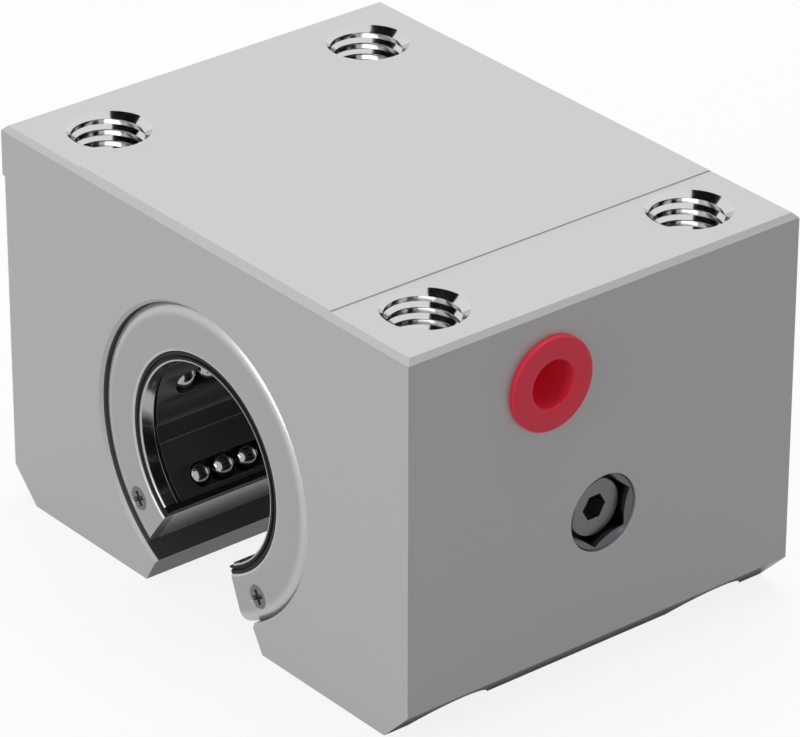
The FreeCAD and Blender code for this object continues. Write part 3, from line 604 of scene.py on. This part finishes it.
def make_locking_screw():
    """A dog-point screw with a hexagon socket: rows from the socket's floor to the dog's tip."""
    low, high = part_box("locking_screw")
    socket = hexagon_radius(ROUND, flats=3.0 * MM)
    face, thread, dog, tip = 3.65 * MM, 4.0 * MM, 2.45 * MM, 2.15 * MM
    shoulder = low.x + 2.1 * MM
    rows = [(high.x - 3.0 * MM, 0), (high.x - 2.5 * MM, socket), (high.x - 0.06 * MM, socket),
            (high.x, socket + 0.05 * MM), (high.x, face), (high.x - 0.06 * MM, face + 0.1 * MM),
            (high.x - 0.35 * MM, thread), (shoulder, thread), (shoulder, dog),
            (low.x + 0.3 * MM, dog), (low.x, tip), (low.x, 0)]
    faces = grid_faces(len(rows), AROUND, close_columns=True)
    piece = add_object("locking_screw_socket", turned_about_x(rows), faces, LOCK, "block")
    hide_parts("locking_screw")


def make_plug():
    """The plug: a shank, a flange with a rounded edge, and a hollow that narrows to its floor."""
    low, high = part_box("port_plug")
    y, z = (low.y + high.y) / 2, (low.z + high.z) / 2
    flange = (high.y - low.y) / 2
    shank, mouth, floor = 4.0 * MM, 3.05 * MM, 2.4 * MM
    edge, lip = 0.3 * MM, 0.25 * MM
    face, root = high.x, low.x
    under = BLOCK[1].x + 0.02 * MM
    bottom = root + 1.2 * MM
    rows = np.vstack([
        [(root, 0.0), (root, shank), (under, shank)],
        [(under, flange - 0.05 * MM), (under + 0.05 * MM, flange)],
        rounded((face, flange), (face - edge, flange), (face, flange - edge)),
        rounded((face, mouth), (face, mouth + lip), (face - lip, mouth), 5),
        [(bottom, floor), (bottom, 0.0)],
    ])
    faces = grid_faces(len(rows), AROUND, close_columns=True)
    piece = add_object("plug_cap", turned_about_x(rows, y, z), faces, PLUG, "plug")
    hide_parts("port_plug")


# ------------------------------------------------------------ build it all

make_housing()
for end in ENDS:
    make_plate(end)
    make_wiper(end)
    make_guide(end)
    for side in SIDES:
        make_plate_screw(end, side)
make_cage()
for number in range(1, 7):
    make_circuit(number)
make_lock_ring()
make_locking_screw()
make_plug()
paint("bearing_sleeve", GROUND)
paint("left_side_seal", RUBBER)
paint("right_side_seal", RUBBER)


# --------------------------------------------------- floor, lights, camera

# At these levels the top reads about as its colour is written. The front gets about two thirds
# of its light and the right side two fifths, so that the three faces part.
WORLD_LIGHT = 0.29
TOP_POWER = 6.7
FRONT_POWER = 4.1
SIDE_POWER = 0.3

# The floor's colour as it lights the object and as it shows, and how much of it shows as white
FLOOR_LIGHT = "8c8c8c"
FLOOR_COLOUR = "f2f2f2"
FLOOR_WHITE = 0.86
FLOOR_HALF = 3.0

# The dark card under each foot of the block, a painted shadow where the block shades the floor: its
# width, and its height above the floor
FOOT_WIDTH = 22 * MM
FOOT_GAP = 0.05 * MM

# Azimuth from the front towards the right, elevation, and roll about the view, in degrees
CAMERA_ANGLES = (50.87, 28.2, 0.10)
CAMERA_PLACE = (443.15 * MM, -359.67 * MM, 308.95 * MM)
CAMERA_LENS = 240.4


def shown_rays(tree):
    """One for rays that come from the camera, a mirror or glass, and nought for the rest."""
    path = add_node(tree, "ShaderNodeLightPath")
    seen = add_node(tree, "ShaderNodeMath",
                    links={0: path.outputs["Is Camera Ray"], 1: path.outputs["Is Glossy Ray"]},
                    operation="MAXIMUM")
    return add_node(tree, "ShaderNodeMath", links={0: seen, 1: path.outputs["Is Transmission Ray"]},
                    operation="MAXIMUM")


def stage_quad(name, corners, material):
    """A flat four-cornered piece of the stage, which isn't part of the object."""
    mesh = bpy.data.meshes.new(name)
    mesh.from_pydata(corners, [], [(0, 1, 2, 3)])
    mesh.materials.append(material)
    quad = bpy.data.objects.new(name, mesh)
    bpy.context.scene.collection.objects.link(quad)
    return quad


def make_floor():
    """A pale floor that shows as white but for a part, which keeps the object's shadow."""
    material, tree = new_material("pale_floor")
    matt = add_node(tree, "ShaderNodeBsdfDiffuse", {"Color": linear(FLOOR_LIGHT)})
    paper = add_node(tree, "ShaderNodeBsdfDiffuse", {"Color": linear(FLOOR_COLOUR)})
    white = add_node(tree, "ShaderNodeEmission", {"Strength": 1.0})
    shown = add_node(tree, "ShaderNodeMixShader", {0: FLOOR_WHITE}, {1: paper, 2: white})
    mix = add_node(tree, "ShaderNodeMixShader", links={0: shown_rays(tree), 1: matt, 2: shown})
    add_node(tree, "ShaderNodeOutputMaterial", links={"Surface": mix})
    half, level = FLOOR_HALF, CAD_BOX[0].z
    corners = [(-half, -half, level), (half, -half, level), (half, half, level), (-half, half, level)]
    stage_quad("floor", corners, material)


def make_world():
    """White to the eye and in mirrors, dim as a light."""
    world = bpy.data.worlds.new("studio")
    bpy.context.scene.world = world
    world.use_nodes = True
    tree = world.node_tree
    tree.nodes.clear()
    dim = add_node(tree, "ShaderNodeBackground", {"Color": (1, 1, 1, 1), "Strength": WORLD_LIGHT})
    white = add_node(tree, "ShaderNodeBackground", {"Color": (1, 1, 1, 1), "Strength": 1.0})
    mix = add_node(tree, "ShaderNodeMixShader", links={0: shown_rays(tree), 1: dim, 2: white})
    add_node(tree, "ShaderNodeOutputWorld", links={"Surface": mix})


def area_lamp(name, place, size, power):
    """A soft box at a place in metres, turned to face the middle of the object."""
    lamp = bpy.data.lights.new(name, "AREA")
    lamp.shape = "RECTANGLE"
    lamp.size, lamp.size_y = size
    lamp.energy = power
    piece = bpy.data.objects.new(name, lamp)
    piece.location = place
    piece.rotation_euler = (-Vector(place)).to_track_quat("-Z", "Y").to_euler()
    bpy.context.scene.collection.objects.link(piece)


def dark_card(name, place, along, across):
    """A black studio card that only mirrors see; along and across are its two sides, in metres."""
    material, tree = new_material("black_card")
    matt = add_node(tree, "ShaderNodeBsdfDiffuse", {"Color": linear("0a0a0a")})
    add_node(tree, "ShaderNodeOutputMaterial", links={"Surface": matt})
    place, along, across = Vector(place), Vector(along), Vector(across)
    corners = [place + a * along / 2 + b * across / 2 for a, b in ((-1, -1), (1, -1), (1, 1), (-1, 1))]
    card = stage_quad(name, corners, material)
    card.visible_camera = card.visible_diffuse = card.visible_shadow = False


def make_camera():
    """A long lens that looks at the block from above its front right corner."""
    azimuth, elevation, roll = (math.radians(angle) for angle in CAMERA_ANGLES)
    back = Vector((math.sin(azimuth) * math.cos(elevation), -math.cos(azimuth) * math.cos(elevation),
                   math.sin(elevation)))
    level = Vector((math.cos(azimuth), math.sin(azimuth), 0))
    up = back.cross(level)
    right = level * math.cos(roll) + up * math.sin(roll)
    up = back.cross(right)
    camera = bpy.data.objects.new("camera", bpy.data.cameras.new("camera"))
    camera.data.lens = CAMERA_LENS
    camera.data.clip_start, camera.data.clip_end = 0.01, 10
    turn = Matrix((right, up, back)).transposed().to_4x4()
    camera.matrix_world = Matrix.Translation(CAMERA_PLACE) @ turn
    bpy.context.scene.collection.objects.link(camera)
    bpy.context.scene.camera = camera


make_floor()
make_world()
area_lamp("top_box", (-0.2, 0.2, 0.9), (0.8, 0.8), TOP_POWER)
area_lamp("front_box", (-0.05, -1.0, 0.24), (0.7, 0.5), FRONT_POWER)
area_lamp("side_strip", (1.0, -0.05, 0.15), (0.1, 0.4), SIDE_POWER)
# The tapped holes mirror this card as a dark wedge
dark_card("dark_card", (-0.10, -0.36, 0.59), (-0.706, -0.098, -0.233), (0.054, -0.168, -0.094))
# The block's lower edges mirror these as a painted shadow under its feet
for side, middle in (("left", BLOCK[0].x + FOOT_WIDTH / 2), ("right", BLOCK[1].x - FOOT_WIDTH / 2)):
    dark_card(side + "_foot_shade", (middle, 0, BLOCK[0].z + FOOT_GAP),
              (0, BLOCK[1].y - BLOCK[0].y, 0), (FOOT_WIDTH, 0, 0))
make_camera()
bpy.context.scene.view_settings.view_transform = "Standard"
